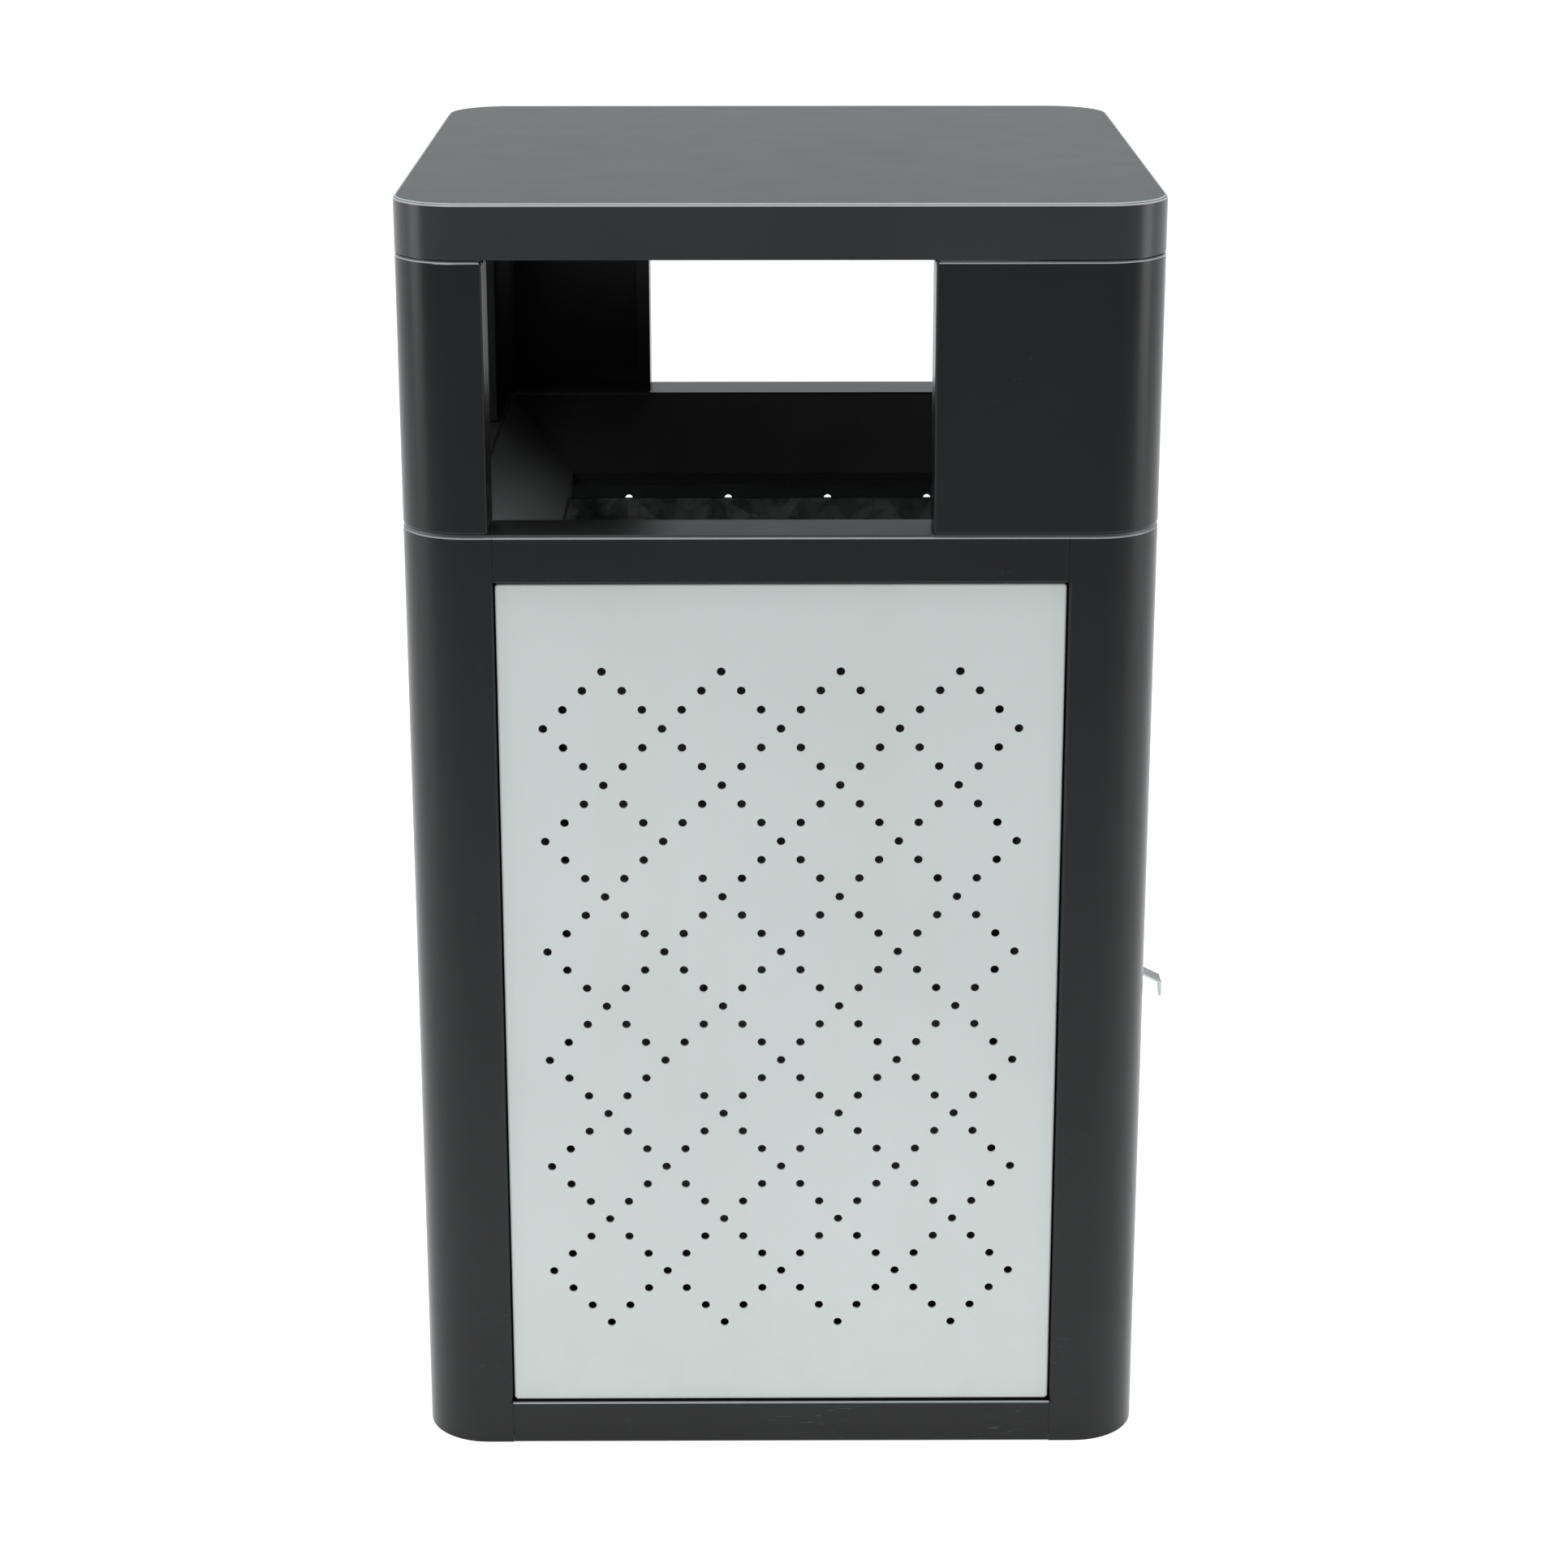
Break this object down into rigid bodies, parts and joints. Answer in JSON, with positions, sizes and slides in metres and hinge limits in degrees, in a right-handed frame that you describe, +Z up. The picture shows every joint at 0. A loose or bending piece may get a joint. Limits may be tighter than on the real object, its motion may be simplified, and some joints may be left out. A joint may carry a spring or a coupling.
{
  "type": "litter bin",
  "caption": "Square folded-steel litter bin with a perforated body, a side door, a four-sided open hood over a square hopper, and a lift-out metal liner.",
  "frame": {"origin": "centre of the square footprint, on the ground under the base plate", "axes": "+X right, +Y to the rear, +Z up; the front faces -Y and the door is on +X"},
  "size_m": [0.471, 0.456, 0.798],
  "materials": {
    "black_coat": "satin black powder coat",
    "pale_coat": "satin pale grey powder coat",
    "galvanised": "weathered galvanised sheet",
    "satin_steel": "satin stainless",
    "lock_chrome": "polished plating",
    "buffer_rubber": "matt black rubber",
    "nylon": "natural nylon",
    "zinc_wire": "zinc plated wire",
    "black_hardware": "black coated steel",
    "zinc_hardware": "bright zinc plate"
  },
  "bodies": {
    "root": {"base_plate": "galvanised", "base_rivets": "zinc_hardware", "body_post_front_left": "black_coat", "body_post_front_right": "black_coat", "body_post_rear_left": "black_coat", "body_post_rear_right": "black_coat", "bottom_rail_front": "black_coat", "bottom_rail_left": "black_coat", "bottom_rail_rear": "black_coat", "bottom_rail_right": "black_coat", "door_buffers": "buffer_rubber", "handle_lugs_left": "galvanised", "handle_lugs_right": "galvanised", "hinge_bush_lower": "nylon", "hinge_bush_upper": "nylon", "hood_bolts": "black_hardware", "hood_nuts": "zinc_hardware", "hood_post_front_left": "black_coat", "hood_post_front_right": "black_coat", "hood_post_rear_left": "black_coat", "hood_post_rear_right": "black_coat", "hopper": "black_coat", "lid": "black_coat", "lid_bolts": "black_hardware", "lid_gussets": "black_coat", "lid_nuts": "zinc_hardware", "liner": "galvanised", "liner_rim": "galvanised", "liner_stop": "galvanised", "panel_front": "pale_coat", "panel_left": "pale_coat", "panel_rear": "pale_coat", "panel_studs": "zinc_hardware", "runner_front": "galvanised", "runner_rear": "galvanised", "runner_rivets": "zinc_hardware", "top_rail_front": "black_coat", "top_rail_left": "black_coat", "top_rail_rear": "black_coat", "top_rail_right": "black_coat"},
    "door": {"door_panel": "pale_coat", "hinge_pin_upper": "zinc_hardware", "hinge_pin_lower": "zinc_hardware", "pull_tab": "satin_steel", "pull_tab_rivets": "zinc_hardware", "lock_barrel": "lock_chrome", "lock_nut": "zinc_hardware"},
    "lock_cam": {"lock_plug": "lock_chrome", "lock_cam": "zinc_hardware", "lock_cam_nut": "zinc_hardware"},
    "handle_left": {"liner_handle_left": "zinc_wire"},
    "handle_right": {"liner_handle_right": "zinc_wire"}
  },
  "joints": [
    {"name": "door_hinge", "type": "hinge", "parent": "root", "child": "door", "pos_m": [0.221, 0.16075, 0.3], "axis": [0, 0, 1], "range_deg": [0, 110]},
    {"name": "lock_turn", "type": "hinge", "parent": "door", "child": "lock_cam", "pos_m": [0.215, -0.153, 0.342], "axis": [-1, 0, 0], "range_deg": [0, 90]},
    {"name": "handle_left_swing", "type": "hinge", "parent": "root", "child": "handle_left", "pos_m": [-0.1635, 0, 0.503], "axis": [0, 1, 0], "range_deg": [0, 170]},
    {"name": "handle_right_swing", "type": "hinge", "parent": "root", "child": "handle_right", "pos_m": [0.1635, 0, 0.503], "axis": [0, -1, 0], "range_deg": [0, 170]}
  ]
}
